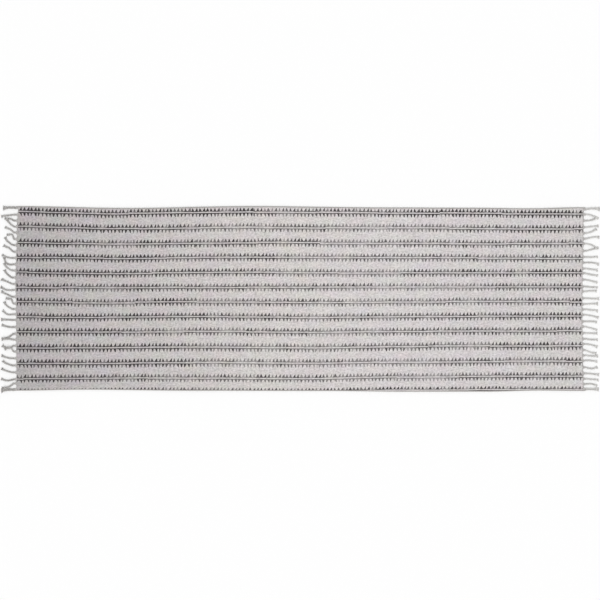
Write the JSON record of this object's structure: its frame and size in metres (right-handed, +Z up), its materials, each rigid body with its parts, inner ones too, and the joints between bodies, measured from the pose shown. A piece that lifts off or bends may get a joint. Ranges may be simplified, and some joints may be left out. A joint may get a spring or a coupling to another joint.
{
  "type": "runner rug",
  "caption": "Long narrow flatwoven cotton rug, block printed with lengthwise rows of small triangles, with a knotted tassel fringe across each end.",
  "frame": {"origin": "on the floor, under the middle of the whole rug with its fringes", "axes": "+X along the rug to its east fringe, +Y across it to its north selvedge, +Z up out of the printed face"},
  "size_m": [2.4398, 0.7549, 0.0081],
  "materials": {
    "cloth": "matt flatwoven cotton, light warm grey, block printed with charcoal triangle rows",
    "selvedge": "matt doubled cotton edge warps, grey",
    "heading": "matt twined cotton locking weft, light grey",
    "tassel": "matt twisted cotton warp ends, off-white grey"
  },
  "bodies": {
    "cloth": {"rug_cloth": "cloth", "north_selvedge": "selvedge", "south_selvedge": "selvedge", "west_heading": "heading", "east_heading": "heading"},
    "west_fringe": {"west_tassel_02": "tassel", "west_tassel_05": "tassel", "west_tassel_06": "tassel", "west_tassel_07": "tassel", "west_tassel_08": "tassel", "west_tassel_11": "tassel", "west_tassel_12": "tassel", "west_tassel_13": "tassel", "west_tassel_14": "tassel", "west_tassel_15": "tassel", "west_tassel_16": "tassel", "west_tassel_17": "tassel", "west_tassel_18": "tassel", "west_tassel_19": "tassel", "west_tassel_20": "tassel", "west_tassel_25": "tassel", "west_tassel_26": "tassel", "west_tassel_27": "tassel", "west_tassel_28": "tassel", "west_tassels_01": "tassel", "west_tassels_03_04": "tassel", "west_tassels_09_10": "tassel", "west_tassels_21_22": "tassel", "west_tassels_23_24": "tassel", "west_tassels_29_30": "tassel"},
    "east_fringe": {"east_tassel_04": "tassel", "east_tassel_05": "tassel", "east_tassel_06": "tassel", "east_tassel_09": "tassel", "east_tassel_10": "tassel", "east_tassel_11": "tassel", "east_tassel_12": "tassel", "east_tassel_13": "tassel", "east_tassel_14": "tassel", "east_tassel_15": "tassel", "east_tassel_16": "tassel", "east_tassel_17": "tassel", "east_tassel_18": "tassel", "east_tassel_19": "tassel", "east_tassel_20": "tassel", "east_tassel_21": "tassel", "east_tassel_22": "tassel", "east_tassel_23": "tassel", "east_tassel_24": "tassel", "east_tassel_25": "tassel", "east_tassel_26": "tassel", "east_tassel_27": "tassel", "east_tassel_28": "tassel", "east_tassel_29": "tassel", "east_tassel_30": "tassel", "east_tassel_31": "tassel", "east_tassels_01": "tassel", "east_tassels_02_03": "tassel", "east_tassels_07_08": "tassel", "east_tassels_32": "tassel"}
  },
  "joints": [
    {"name": "west_fringe_fold", "type": "hinge", "parent": "cloth", "child": "west_fringe", "pos_m": [-1.163, 0, 0.0065], "axis": [0, 1, 0], "range_deg": [0, 175]},
    {"name": "east_fringe_fold", "type": "hinge", "parent": "cloth", "child": "east_fringe", "pos_m": [1.16, 0, 0.0065], "axis": [0, -1, 0], "range_deg": [0, 175]}
  ]
}
